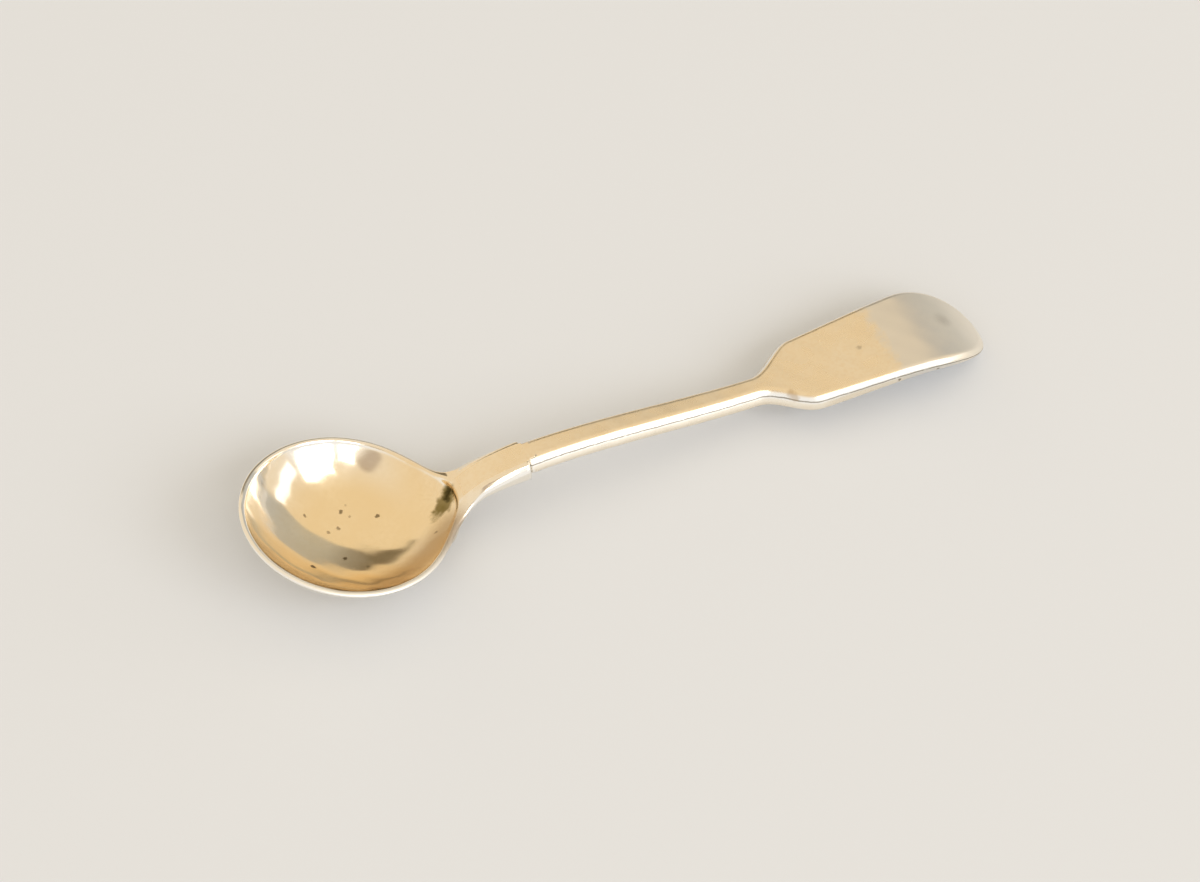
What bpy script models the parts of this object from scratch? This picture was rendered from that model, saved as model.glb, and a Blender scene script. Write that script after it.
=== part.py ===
"""Salt spoon: a sunk bowl, a fiddle-pattern handle, and the soldered lap that joins them.

The spoon lies as on a table, bowl up, with its handle along +X and the table at z = 0.
X is measured from the middle of the bowl's rim until the last step centres the spoon.
"""
import math

import bmesh
import bpy
from mathutils import Matrix, Vector

MM = 0.001

# Bowl
RIM_HALF_LENGTH = 13.27 * MM
RIM_HALF_WIDTH = 12.99 * MM
RIM_BAND = 0.85 * MM
HEEL_SCOOP = 1.6 * MM
HEEL_SHARPNESS = 6
HEEL_SHALLOWNESS = 8
BOWL_DEPTH = 7.15 * MM
BOWL_FLOOR = 1.0 * MM
RIM_TILT = math.radians(15.0)
FOOT_FLAT_RADIUS = 1.95 * MM

# Side line of the top face, from the bowl to the tip: distance from the bowl, then height
HEEL_SLOPE = 0.45
HEEL_LIP = 1.6 * MM
CROWN_X = 26.0 * MM
CROWN_HEIGHT = 7.85 * MM
WAIST_X = 57.0 * MM
WAIST_HEIGHT = 5.6 * MM
PAD_X = 76.0 * MM
PAD_HEIGHT = 6.5 * MM
TIP_X = 87.2 * MM
TIP_HEIGHT = 1.5 * MM
TIP_SLOPE = -0.9

# Neck, which belongs to the bowl
NECK_HALF_WIDTH = 2.9 * MM
NECK_END_X = 23.0 * MM
NECK_THICKNESS = 2.6 * MM
NECK_ROOT_THICKNESS = 1.5 * MM
NECK_LAND = 0.14 * MM
NECK_FACET_RUN = 0.4 * MM
NECK_FACET_DROP = 0.15 * MM
NECK_SIDE_DEPTH = 2.05 * MM
NECK_ROOT_SIDE_DEPTH = 0.75 * MM
NECK_SIDE_SHARE = 0.5
NECK_SIDE_RUN = 0.2 * MM
NECK_KEEL_HALF_WIDTH = 1.5 * MM
FLARE_LENGTH = 7.2 * MM
FLARE_REACH = 4.25 * MM
FLARE_POWER = 2.7
NECK_SUNK_IN = 2.2 * MM

# Handle
STEM_HALF_WIDTH = 1.86 * MM
WAIST_HALF_WIDTH = 1.64 * MM
STEM_THICKNESS = 2.05 * MM
SHOULDER_X = 54.4 * MM
SHOULDER_LENGTH = 7.3 * MM
PAD_ROOT_HALF_WIDTH = 5.41 * MM
PAD_HALF_WIDTH = 6.62 * MM
TIP_ROUND_LENGTH = 9.6 * MM
TIP_POWER = 2.15
TIP_THICKNESS = 2.2 * MM
EDGE_RUN = 0.66 * MM
EDGE_DROP = 0.66 * MM
SIDE_LEAN = 0.5
TIP_SIDE_LEAN = -0.4
BACK_RUN = 0.3 * MM
BACK_RISE = 0.35 * MM

# Soldered lap
TONGUE_HALF_WIDTH = 1.3 * MM
TONGUE_DEPTH = 1.45 * MM
TONGUE_NOSE_DEPTH = 1.0 * MM
TONGUE_NOSE_WALL = 1.0 * MM
SHOULDER_RAMP = 0.25 * MM
SOLDER_THICKNESS = 0.1 * MM
CLEARANCE = 0.03 * MM
SOLDER_REVEAL = 0.06 * MM

# Mesh fineness
RIM_COUNT = 84
RING_COUNT = 11
NECK_COUNT = 16
TONGUE_COUNT = 14
STEM_COUNT = 22
SHOULDER_COUNT = 12
PAD_COUNT = 10
TIP_COUNT = 16
EDGE_COUNT = 4
OUTLINE_STEP = 0.02 * MM
CUT_REACH = 3.0 * MM
SMOOTH_WITHIN = math.radians(25.0)

# Finish
SILVER_GILT = (0.90, 0.72, 0.46, 1.0)
SOLDER_PALE = (0.80, 0.68, 0.48, 1.0)
BOWL_ROUGHNESS = 0.22
HANDLE_ROUGHNESS = 0.3
SOLDER_ROUGHNESS = 0.45


def cap_radius(rim_radius, depth):
    """Radius of the sphere whose cap has this rim radius and depth."""
    return (rim_radius ** 2 + depth ** 2) / (2.0 * depth)


OUTER_RADIUS = cap_radius(RIM_HALF_WIDTH, BOWL_DEPTH)
FOOT_DROP = math.sqrt(OUTER_RADIUS ** 2 - FOOT_FLAT_RADIUS ** 2)
RIM_HEIGHT = FOOT_DROP - (OUTER_RADIUS - BOWL_DEPTH) * math.cos(RIM_TILT)
RIM_FRAME = Matrix.Translation((0.0, 0.0, RIM_HEIGHT)) @ Matrix.Rotation(RIM_TILT, 4, "Y")

RIM_HEEL_X = RIM_HALF_LENGTH * math.cos(RIM_TILT)
NOSE_X = -RIM_HEEL_X
HOLLOW_HEEL_X = (RIM_HALF_LENGTH - RIM_BAND + HEEL_SCOOP) * math.cos(RIM_TILT)
HEEL_HEIGHT = RIM_HEIGHT - HOLLOW_HEEL_X * math.tan(RIM_TILT) + HEEL_LIP
NECK_ROOT_X = RIM_HEEL_X - NECK_SUNK_IN
FLARE_END_X = NECK_ROOT_X + FLARE_LENGTH
TONGUE_NOSE_X = HOLLOW_HEEL_X + TONGUE_NOSE_WALL
LAP_GAP = CLEARANCE + SOLDER_THICKNESS + CLEARANCE
STEM_FACE_X = NECK_END_X + LAP_GAP
TIP_ROUND_X = TIP_X - TIP_ROUND_LENGTH


def blend(t):
    """Smooth step from 0 to 1."""
    t = min(max(t, 0.0), 1.0)
    return t * t * (3.0 - 2.0 * t)


def hermite(x, start, end):
    """Height at x on the cubic between two (x, height, slope) stations."""
    span = end[0] - start[0]
    t = (x - start[0]) / span
    rise = start[1] * (1.0 + 2.0 * t) * (1.0 - t) ** 2 + end[1] * t * t * (3.0 - 2.0 * t)
    return rise + span * t * (1.0 - t) * (start[2] * (1.0 - t) - end[2] * t)


STATIONS = (
    (HOLLOW_HEEL_X, HEEL_HEIGHT, HEEL_SLOPE),
    (CROWN_X, CROWN_HEIGHT, 0.0),
    (WAIST_X, WAIST_HEIGHT, 0.0),
    (PAD_X, PAD_HEIGHT, 0.0),
    (TIP_X, TIP_HEIGHT, TIP_SLOPE),
)


def top_height(x):
    """Height of the top face along the middle of the neck and handle."""
    if x < HOLLOW_HEEL_X:
        return HEEL_HEIGHT + HEEL_SLOPE * (x - HOLLOW_HEEL_X)
    for start, end in zip(STATIONS, STATIONS[1:]):
        if x <= end[0]:
            return hermite(x, start, end)
    return TIP_HEIGHT


def neck_half_width(x):
    """Half width of the neck, which flares into the rim of the bowl."""
    reach = max(FLARE_END_X - x, 0.0) / FLARE_LENGTH
    return NECK_HALF_WIDTH + FLARE_REACH * reach ** FLARE_POWER


def handle_half_width(x):
    """Half width of the handle at its bevels: tongue, stem, shoulders, terminal and round tip."""
    if x <= STEM_FACE_X:
        return TONGUE_HALF_WIDTH
    taper = min((x - STEM_FACE_X) / (SHOULDER_X - STEM_FACE_X), 1.0)
    stem = STEM_HALF_WIDTH + (WAIST_HALF_WIDTH - STEM_HALF_WIDTH) * taper
    shoulder = blend((x - SHOULDER_X) / SHOULDER_LENGTH)
    pad_start = SHOULDER_X + SHOULDER_LENGTH
    along = min(max((x - pad_start) / (TIP_ROUND_X - pad_start), 0.0), 1.0)
    pad = PAD_ROOT_HALF_WIDTH + (PAD_HALF_WIDTH - PAD_ROOT_HALF_WIDTH) * along
    width = stem + (pad - stem) * shoulder
    rounding = min(max((x - TIP_ROUND_X) / TIP_ROUND_LENGTH, 0.0), 1.0)
    return width * (1.0 - rounding ** TIP_POWER) ** (1.0 / TIP_POWER)


def tongue_depth(x):
    """Depth of the tongue under its top face, thinner at its nose."""
    along = (x - TONGUE_NOSE_X) / (STEM_FACE_X - TONGUE_NOSE_X)
    return TONGUE_NOSE_DEPTH + (TONGUE_DEPTH - TONGUE_NOSE_DEPTH) * along


def handle_thickness(x):
    """Thickness of the handle, with the step down from the stem to the tongue."""
    if x <= STEM_FACE_X:
        return tongue_depth(x)
    along = (x - STEM_FACE_X) / (TIP_X - STEM_FACE_X)
    full = STEM_THICKNESS + (TIP_THICKNESS - STEM_THICKNESS) * along
    ramp = min((x - STEM_FACE_X) / SHOULDER_RAMP, 1.0)
    return TONGUE_DEPTH + (full - TONGUE_DEPTH) * ramp


def spaced(start, end, count):
    """Evenly spaced values from start up to, but without, end."""
    return [start + (end - start) * i / count for i in range(count)]


def new_object(name, bm, colour, roughness):
    """Object with its own mesh and its own metal."""
    bmesh.ops.recalc_face_normals(bm, faces=bm.faces)
    mesh = bpy.data.meshes.new(name)
    bm.to_mesh(mesh)
    bm.free()
    material = bpy.data.materials.new(name)
    material.use_nodes = True
    shader = material.node_tree.nodes["Principled BSDF"]
    shader.inputs["Base Color"].default_value = colour
    shader.inputs["Metallic"].default_value = 1.0
    shader.inputs["Roughness"].default_value = roughness
    mesh.materials.append(material)
    thing = bpy.data.objects.new(name, mesh)
    bpy.context.scene.collection.objects.link(thing)
    return thing


def loft(sections):
    """Closed solid through equal rings of points, with a flat cap at each end."""
    bm = bmesh.new()
    rings = [[bm.verts.new(point) for point in ring] for ring in sections]
    for near, far in zip(rings, rings[1:]):
        for i in range(len(near)):
            j = (i + 1) % len(near)
            bm.faces.new((near[i], near[j], far[j], far[i]))
    bm.faces.new(rings[0])
    bm.faces.new(list(reversed(rings[-1])))
    return bm


def mirrored(x, half):
    """Ring at x from the points of its +Y half, given from top to bottom."""
    right = [Vector((x, y, z)) for y, z in half]
    left = [Vector((x, -y, z)) for y, z in reversed(half)]
    return right + left


def dish(half_length, half_width, depth, rise, scoop=0.0):
    """Cap of a sphere under the rim plane, with a straight wall of this rise above it.

    The scoop draws the outline out to a soft point at the heel.
    """
    bm = bmesh.new()
    radius = cap_radius(half_width, depth)
    rings = []
    for r in range(1, RING_COUNT + 1):
        share = math.sin(0.5 * math.pi * r / RING_COUNT)
        drop = math.sqrt(radius ** 2 - (share * half_width) ** 2) - (radius - depth)
        rings.append((share, -drop))
    if rise > 0.0:
        rings.append((1.0, rise))
    loops = []
    for share, height in rings:
        loop = []
        for s in range(RIM_COUNT):
            angle = 2.0 * math.pi * s / RIM_COUNT
            heel = max(math.cos(angle), 0.0) ** HEEL_SHARPNESS * share ** HEEL_SHALLOWNESS
            x = share * (half_length + scoop * heel) * math.cos(angle)
            y = half_width * share * math.sin(angle)
            loop.append(bm.verts.new(RIM_FRAME @ Vector((x, y, height))))
        loops.append(loop)
    lowest = bm.verts.new(RIM_FRAME @ Vector((0.0, 0.0, -depth)))
    for s in range(RIM_COUNT):
        n = (s + 1) % RIM_COUNT
        bm.faces.new((lowest, loops[0][n], loops[0][s]))
        for low, high in zip(loops, loops[1:]):
            bm.faces.new((low[s], low[n], high[n], high[s]))
    bm.faces.new(loops[-1])
    return bm


def neck_section(x):
    """Ring of the neck: flat top, slight facets, sloped sides and a keeled back."""
    along = (x - NECK_ROOT_X) / (NECK_END_X - NECK_ROOT_X)
    thickness = NECK_ROOT_THICKNESS + (NECK_THICKNESS - NECK_ROOT_THICKNESS) * along
    side = NECK_ROOT_SIDE_DEPTH + (NECK_SIDE_DEPTH - NECK_ROOT_SIDE_DEPTH) * along
    top = top_height(x)
    width = neck_half_width(x)
    flat = TONGUE_HALF_WIDTH + LAP_GAP + NECK_LAND
    half = [
        (flat, top),
        (flat + NECK_FACET_RUN, top - NECK_FACET_DROP),
        (width - NECK_SIDE_RUN, top - NECK_SIDE_SHARE * side),
        (width, top - side),
        (NECK_KEEL_HALF_WIDTH, top - thickness),
    ]
    return mirrored(x, half)


def lap_ring(x, grow, lift):
    """Square ring round the tongue, grown outwards, its top lifted above the tongue."""
    half_width = TONGUE_HALF_WIDTH + grow
    top = top_height(x)
    return mirrored(x, [(half_width, top + lift), (half_width, top - tongue_depth(x) - grow)])


def lap_stations():
    """Places along the tongue that the tongue, the solder and the seat share."""
    return spaced(TONGUE_NOSE_X, NECK_END_X, TONGUE_COUNT) + [NECK_END_X]


def cut(thing, cutter, operation="DIFFERENCE"):
    """Boolean of one object with a hidden second one."""
    cutter.hide_render = True
    cutter.display_type = "WIRE"
    modifier = thing.modifiers.new(cutter.name, "BOOLEAN")
    modifier.operation = operation
    modifier.solver = "EXACT"
    modifier.object = cutter


def make_bowl():
    """Bowl and neck in one, hollowed, with the seat for the tongue and a worn foot."""
    bowl = new_object("bowl", dish(RIM_HALF_LENGTH, RIM_HALF_WIDTH, BOWL_DEPTH, 0.0),
                      SILVER_GILT, BOWL_ROUGHNESS)
    stations = spaced(NECK_ROOT_X, NECK_END_X, NECK_COUNT) + [NECK_END_X]
    neck = new_object("neck_body", loft([neck_section(x) for x in stations]),
                      SILVER_GILT, BOWL_ROUGHNESS)
    hollow_mesh = dish(RIM_HALF_LENGTH - RIM_BAND, RIM_HALF_WIDTH - RIM_BAND,
                       BOWL_DEPTH - BOWL_FLOOR, CUT_REACH, HEEL_SCOOP)
    hollow = new_object("hollow_cutter", hollow_mesh, SILVER_GILT, BOWL_ROUGHNESS)
    seat_x = [TONGUE_NOSE_X - LAP_GAP] + lap_stations()[1:] + [NECK_END_X + CUT_REACH]
    seat = new_object("seat_cutter", loft([lap_ring(x, LAP_GAP, CUT_REACH) for x in seat_x]),
                      SILVER_GILT, BOWL_ROUGHNESS)
    table = bmesh.new()
    side = 2.0 * (RIM_HALF_LENGTH + RIM_HALF_WIDTH)
    place = Matrix.Translation((0.0, 0.0, -0.5 * side)) @ Matrix.Scale(side, 4)
    bmesh.ops.create_cube(table, size=1.0, matrix=place)
    foot = new_object("foot_cutter", table, SILVER_GILT, BOWL_ROUGHNESS)
    cut(bowl, neck, "UNION")
    cut(bowl, hollow)
    cut(bowl, seat)
    cut(bowl, foot)
    return [bowl, neck, hollow, seat, foot]


def handle_stations():
    """Places along the handle, closest together where its outline turns."""
    pad_start = SHOULDER_X + SHOULDER_LENGTH
    places = spaced(TONGUE_NOSE_X, STEM_FACE_X, TONGUE_COUNT) + [STEM_FACE_X]
    places += spaced(STEM_FACE_X + SHOULDER_RAMP, SHOULDER_X, STEM_COUNT)
    places += spaced(SHOULDER_X, pad_start, SHOULDER_COUNT)
    places += spaced(pad_start, TIP_ROUND_X, PAD_COUNT)
    for i in range(TIP_COUNT):
        places.append(TIP_ROUND_X + TIP_ROUND_LENGTH * math.sin(0.5 * math.pi * i / TIP_COUNT))
    return places


def outward(x):
    """Unit normal of the handle's plan outline at x, on its +Y side."""
    ahead = min(x + OUTLINE_STEP, TIP_X)
    behind = x - OUTLINE_STEP
    slope = (handle_half_width(ahead) - handle_half_width(behind)) / (ahead - behind)
    return Vector((-slope, 1.0)).normalized()


def handle_ring(x, inset, depth, side):
    """Point of the handle, inset from its outline and below its top face."""
    normal = outward(x)
    place = x - normal.x * inset
    y = side * max(handle_half_width(x) - normal.y * inset, 0.0)
    return Vector((place, y, max(top_height(place) - depth, 0.0)))


def handle_profile(x):
    """Insets and depths of the four edges of the handle's cross-section at x."""
    thickness = handle_thickness(x)
    if x <= STEM_FACE_X:
        return [(0.0, thickness * row / (EDGE_COUNT - 1)) for row in range(EDGE_COUNT)]
    base = thickness - BACK_RISE
    turn_in = blend((x - SHOULDER_X) / (TIP_X - SHOULDER_X))
    spread = (SIDE_LEAN + (TIP_SIDE_LEAN - SIDE_LEAN) * turn_in) * (base - EDGE_DROP)
    return [(EDGE_RUN, 0.0), (0.0, EDGE_DROP), (-spread, base), (BACK_RUN - spread, thickness)]


def make_handle():
    """Tongue, stem and terminal as one forging with bevelled edges and sloped sides."""
    bm = bmesh.new()
    rows = []
    for x in handle_stations():
        profile = handle_profile(x)
        right = [bm.verts.new(handle_ring(x, inset, depth, 1.0)) for inset, depth in profile]
        left = [bm.verts.new(handle_ring(x, inset, depth, -1.0)) for inset, depth in profile]
        rows.append(right + left[::-1])
    for near, far in zip(rows, rows[1:]):
        for i in range(len(near)):
            j = (i + 1) % len(near)
            bm.faces.new((near[i], near[j], far[j], far[i]))
    bm.faces.new(rows[0])
    end = []
    for inset, depth in handle_profile(TIP_X):
        place = TIP_X - inset
        end.append(bm.verts.new((place, 0.0, max(top_height(place) - depth, 0.0))))
    last = rows[-1]
    count = len(end)
    for i in range(count - 1):
        bm.faces.new((last[i], last[i + 1], end[i + 1], end[i]))
        bm.faces.new((last[2 * count - 2 - i], last[2 * count - 1 - i], end[i], end[i + 1]))
    bm.faces.new((last[0], end[0], last[2 * count - 1]))
    bm.faces.new((last[count - 1], last[count], end[count - 1]))
    return [new_object("handle", bm, SILVER_GILT, HANDLE_ROUGHNESS)]


def make_solder():
    """Open channel of solder under and beside the tongue."""
    rings = []
    for x in lap_stations():
        top = top_height(x) - SOLDER_REVEAL
        inner = TONGUE_HALF_WIDTH + CLEARANCE
        outer = inner + SOLDER_THICKNESS
        bed = top_height(x) - tongue_depth(x) - CLEARANCE
        half = [(inner, bed), (inner, top), (outer, top), (outer, bed - SOLDER_THICKNESS)]
        rings.append(mirrored(x, half))
    return [new_object("solder_joint", loft(rings), SOLDER_PALE, SOLDER_ROUGHNESS)]


def main():
    for thing in list(bpy.data.objects):
        bpy.data.objects.remove(thing, do_unlink=True)
    spoon = bpy.data.objects.new("salt_spoon", None)
    bpy.context.scene.collection.objects.link(spoon)
    spoon.location.x = -0.5 * (NOSE_X + TIP_X)
    for thing in make_bowl() + make_handle() + make_solder():
        thing.parent = spoon
        thing.data.shade_smooth()
        thing.data.set_sharp_from_angle(angle=SMOOTH_WITHIN)


main()
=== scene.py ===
"""Looks of the salt spoon: fine skins over the solids, worn silver-gilt materials with painted highlights,
reflections and shade, studio and camera.

Shapes are worked out in millimetres along the spoon, with x from the middle of the bowl's rim,
as fields that are negative inside the metal. Each skin is meshed on the zero of its field.
"""
import math

import bpy
import numpy as np
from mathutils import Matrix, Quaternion, Vector


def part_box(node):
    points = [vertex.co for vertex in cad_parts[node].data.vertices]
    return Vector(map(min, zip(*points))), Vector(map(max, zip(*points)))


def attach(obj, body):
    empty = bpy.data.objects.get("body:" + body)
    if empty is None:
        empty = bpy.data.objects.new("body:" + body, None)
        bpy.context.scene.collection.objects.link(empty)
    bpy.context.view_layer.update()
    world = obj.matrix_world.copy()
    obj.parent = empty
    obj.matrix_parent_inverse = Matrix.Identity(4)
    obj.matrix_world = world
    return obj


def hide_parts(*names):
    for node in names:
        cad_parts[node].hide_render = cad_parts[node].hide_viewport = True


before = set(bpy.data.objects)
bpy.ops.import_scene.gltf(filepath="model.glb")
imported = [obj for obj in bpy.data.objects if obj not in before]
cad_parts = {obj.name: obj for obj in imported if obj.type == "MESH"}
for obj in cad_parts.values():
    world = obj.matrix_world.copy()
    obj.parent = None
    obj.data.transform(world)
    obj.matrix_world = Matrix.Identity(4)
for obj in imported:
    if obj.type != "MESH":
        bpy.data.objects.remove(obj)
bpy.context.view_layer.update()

MM = 0.001

# Bowl
RIM_HALF_LENGTH = 13.27
RIM_HALF_WIDTH = 12.99
RIM_BAND = 0.85
HEEL_SCOOP = 1.6
HEEL_SHARPNESS = 11
HEEL_SHALLOWNESS = 8
BOWL_DEPTH = 7.15
BOWL_FLOOR = 1.0
RIM_TILT = math.radians(15.0)
FOOT_FLAT_RADIUS = 1.95

# Side line of the top face
HEEL_SLOPE = 0.45
HEEL_LIP = 1.6
CROWN_X = 26.0
CROWN_HEIGHT = 7.85
WAIST_X = 57.0
WAIST_HEIGHT = 5.6
PAD_X = 76.0
PAD_HEIGHT = 6.5
TIP_X = 87.2
TIP_HEIGHT = 1.5
TIP_SLOPE = -0.9

# Neck
NECK_HALF_WIDTH = 2.9
NECK_END_X = 23.0
NECK_THICKNESS = 2.6
NECK_ROOT_THICKNESS = 1.5
NECK_LAND = 0.14
NECK_FACET_RUN = 0.4
NECK_FACET_DROP = 0.15
NECK_SIDE_DEPTH = 2.05
NECK_ROOT_SIDE_DEPTH = 0.75
NECK_SIDE_SHARE = 0.5
NECK_SIDE_RUN = 0.2
NECK_KEEL_HALF_WIDTH = 1.5
FLARE_LENGTH = 7.2
FLARE_REACH = 4.25
FLARE_POWER = 2.7
NECK_SUNK_IN = 2.2

# Handle
STEM_HALF_WIDTH = 1.86
WAIST_HALF_WIDTH = 1.64
STEM_THICKNESS = 2.05
SHOULDER_X = 54.4
SHOULDER_LENGTH = 7.3
PAD_ROOT_HALF_WIDTH = 5.41
PAD_HALF_WIDTH = 6.62
TIP_ROUND_LENGTH = 9.6
TIP_POWER = 2.15
TIP_THICKNESS = 2.2
EDGE_RUN = 0.66
EDGE_DROP = 0.66
SIDE_LEAN = 0.5
TIP_SIDE_LEAN = -0.4
BACK_RUN = 0.3
BACK_RISE = 0.35

# Soldered lap
TONGUE_HALF_WIDTH = 1.3
TONGUE_DEPTH = 1.45
TONGUE_NOSE_DEPTH = 1.0
TONGUE_NOSE_WALL = 1.0
LAP_GAP = 0.16
BUTT_SUNK = 0.05
TONGUE_OVERRUN = 1.0

# Rim that slopes outwards from a crest at the hollow
RIM_CREST = 0.4
RIM_FALL = 0.6
RIM_SHRINK = 0.17

# Rounding of edges and corners, and the dip of the heel's lip
RIM_ROUND = 0.3
HEEL_ROUND = 0.45
HOLLOW_EASE = 1.0
LIP_DIP = 0.6
LIP_RUN = 3.5
CREST_EXTRA_ROUND = 0.3
CREST_END_X = 12.0
CREST_END_RUN = 2.0
NECK_ROUND = 0.28
NECK_END_ROUND = 0.35
NECK_FILLET = 1.4
NECK_TOP_FILLET = 1.0
EDGE_ROUND = 0.24
BACK_ROUND = 0.4
LAP_ROUND = 0.02
FOOT_ROUND = 0.2

# Faint unevenness of hand-finished metal: its height, and for each wave the radians per millimetre along
# x and y and a start. On the handle a smaller share of it grows in from a place past the lap.
RIPPLE = 0.009
RIPPLE_WAVES = ((1.1, 0.5, 0.3), (0.7, -1.3, 1.9), (1.9, 1.6, 4.0))
HANDLE_RIPPLE_SHARE = 0.4
RIPPLE_FROM_X = 30.0
RIPPLE_GROWTH = 5.0

# Meshing: cells, the room left round each node's box, and the steps that bring points onto the surface
SKIN_CELL = 0.18
SKIN_MARGIN = 0.57
SOLDER_CELL = 0.08
SOLDER_MARGIN = 1.23
SETTLE_STEPS = 3
RELAX_STEPS = 3
SLOPE_STEP = 0.01
PINCH_ROUNDS = 3
PINCH_FILL = 0.0001

# Silver and painted highlight on edges: the sharpest bend that counts, the cells it spreads over, and how far
# from the lap it is full
SHARPEST = 4.0
EDGE_SPREAD = 4
LAP_WEAR_REACH = 0.25

# Silver on the bowl, partly wear and partly painted highlight: reach of the rubbed wall under the rim, and
# its share of the rim's silver
RUBBED_WALL = 5.0
RUBBED_WALL_SHARE = 0.75


def cap_radius(rim_radius, depth):
    """Radius of the sphere whose cap has this rim radius and depth."""
    return (rim_radius ** 2 + depth ** 2) / (2.0 * depth)


OUTER_RADIUS = cap_radius(RIM_HALF_WIDTH, BOWL_DEPTH)
FOOT_DROP = math.sqrt(OUTER_RADIUS ** 2 - FOOT_FLAT_RADIUS ** 2)
RIM_HEIGHT = FOOT_DROP - (OUTER_RADIUS - BOWL_DEPTH) * math.cos(RIM_TILT)
RIM_HEEL_X = RIM_HALF_LENGTH * math.cos(RIM_TILT)
HOLLOW_HALF_LENGTH = RIM_HALF_LENGTH - RIM_BAND
HOLLOW_HALF_WIDTH = RIM_HALF_WIDTH - RIM_BAND
HOLLOW_DEPTH = BOWL_DEPTH - BOWL_FLOOR
HOLLOW_RADIUS = cap_radius(HOLLOW_HALF_WIDTH, HOLLOW_DEPTH)
HOLLOW_HEEL_X = (HOLLOW_HALF_LENGTH + HEEL_SCOOP) * math.cos(RIM_TILT)
HEEL_HEIGHT = RIM_HEIGHT - HOLLOW_HEEL_X * math.tan(RIM_TILT) + HEEL_LIP
NECK_ROOT_X = RIM_HEEL_X - NECK_SUNK_IN
FLARE_END_X = NECK_ROOT_X + FLARE_LENGTH
TONGUE_NOSE_X = HOLLOW_HEEL_X + TONGUE_NOSE_WALL
STEM_FACE_X = NECK_END_X + LAP_GAP
TIP_ROUND_X = TIP_X - TIP_ROUND_LENGTH
NECK_TOP_END_X = NECK_END_X - NECK_END_ROUND
RIM_CENTRE_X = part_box("bowl")[0].x / MM + RIM_HEEL_X

STATIONS = (
    (HOLLOW_HEEL_X, HEEL_HEIGHT, HEEL_SLOPE),
    (CROWN_X, CROWN_HEIGHT, 0.0),
    (WAIST_X, WAIST_HEIGHT, 0.0),
    (PAD_X, PAD_HEIGHT, 0.0),
    (TIP_X, TIP_HEIGHT, TIP_SLOPE),
)

# Colours of the metal
GILT_PALE = (0.94, 0.83, 0.65, 1.0)
GILT_DEEP = (0.90, 0.76, 0.55, 1.0)
BOWL_GILT = (0.92, 0.73, 0.43, 1.0)
# Painted reflection on the tip, grey and then pale
GREY_TIP_REFLECTION = (0.83, 0.80, 0.75, 1.0)
TIP_PALE = (0.95, 0.89, 0.78, 1.0)
# Bare silver on edges, bevels and the bowl's rim, partly wear and partly painted highlight
BARE_SILVER_AND_HIGHLIGHT = (0.95, 0.94, 0.91, 1.0)
# Painted shade on the heel's wall and under its lip, and its darkest core
PAINTED_HEEL_SHADE = (0.20, 0.15, 0.03, 1.0)
PAINTED_HEEL_SHADE_DARK = (0.045, 0.035, 0.007, 1.0)
# Grime in pits and spots, and the painted dark reflection along the handle's arris
GRIME_AND_DARK_REFLECTION = (0.14, 0.10, 0.045, 1.0)
# Painted shade in the handle's notch
NOTCH_SHADE_BROWN = (0.45, 0.30, 0.15, 1.0)
HAZE_BROWN = (0.40, 0.27, 0.14, 1.0)

# Texture of the metal: sizes of its noises in millimetres, the ranges of them that show, and what they do
CLOUD_SIZE = 3.5
CLOUD_RANGE = (0.2, 0.8)
CLOUD_GLOSS = 0.03
CLOUD_DULLING = 0.05
RUB_SIZE = 0.9
RUB_WEAR = 0.8
# Silver on edges, partly wear and partly painted highlight
WEAR_AND_HIGHLIGHT_RANGE = (0.9, 2.2)
WEAR_AND_HIGHLIGHT_SHARE = 0.7
MOTTLE_SIZE = 0.5
MOTTLE_RANGE = (0.4, 0.7)
MOTTLE_SHARE = 0.7
GRAIN_SIZE = 0.12
GRAIN_HEIGHT = 0.3
RAGGED_SIZE = 0.35
RAGGED_REACH = 0.5
SCRATCH_SIZE = 0.09
SCRATCH_STRETCH = 40.0
SCRATCH_SHIFT = 3.0
SCRATCH_RANGE = (0.62, 0.72)
SCRATCH_DULLING = 0.08
BUMP_STRENGTH = 0.12
BUMP_HEIGHT = 0.004

# Finish of the bowl
BOWL_ROUGHNESS = 0.11
BOWL_SCRATCH_TURNS = (0.4, 1.3, 2.4)
MIDST_SHARE = 0.55
# Share of silver on the rim and walls, partly wear and partly painted highlight
BARE_AND_HIGHLIT_SHARE = 0.85
SCUFF_DULLING = 0.35
INNER_RANGE = (0.0, 0.2)
HAZE_SHARE = 0.65
# Painted shade on the heel: raggedness and dulling
HEEL_SHADE_RAGGED = 1.6
HEEL_SHADE_DULLING = 0.25
PIT_SOFTNESS = 0.1
PIT_DULLING = 0.2
PIT_DEPTH = 4.0

# Finish of the handle: ranges of the depth under its top face, and shares
HANDLE_ROUGHNESS = 0.27
HANDLE_SCRATCH_TURNS = (0.0, 0.12, 1.2)
WAVER_SIZE = 1.3
# Silver on the bevels, partly wear and partly painted highlight
SIDE_START = (0.12, 0.4)
SIDE_FADE = (0.75, 1.1)
SIDE_FADED = 0.4
BEVEL_WEAR_AND_HIGHLIGHT_SHARE = 0.85
# Painted reflection on the tip: waver, share and dulling
TIP_WAVER = 3.0
TIP_SHARE = 0.9
TIP_DULLING = 0.04
# Dark line of painted reflection along the arris
ARRIS_WAVER = 0.2
ARRIS_DEPTH = EDGE_DROP + 0.19
ARRIS_WIDTH = (0.03, 0.11)
ARRIS_BREAKS = (0.2, 0.45)
ARRIS_SHARE = 0.75
ARRIS_DULLING = 0.2
# Painted shade in the notch: share and dulling
NOTCH_SHARE = 0.5
NOTCH_DULLING = 0.2

# Finish of the solder
SOLDER_ROUGHNESS = 0.2
SOLDER_SCRATCH_TURNS = (0.0,)

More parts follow.
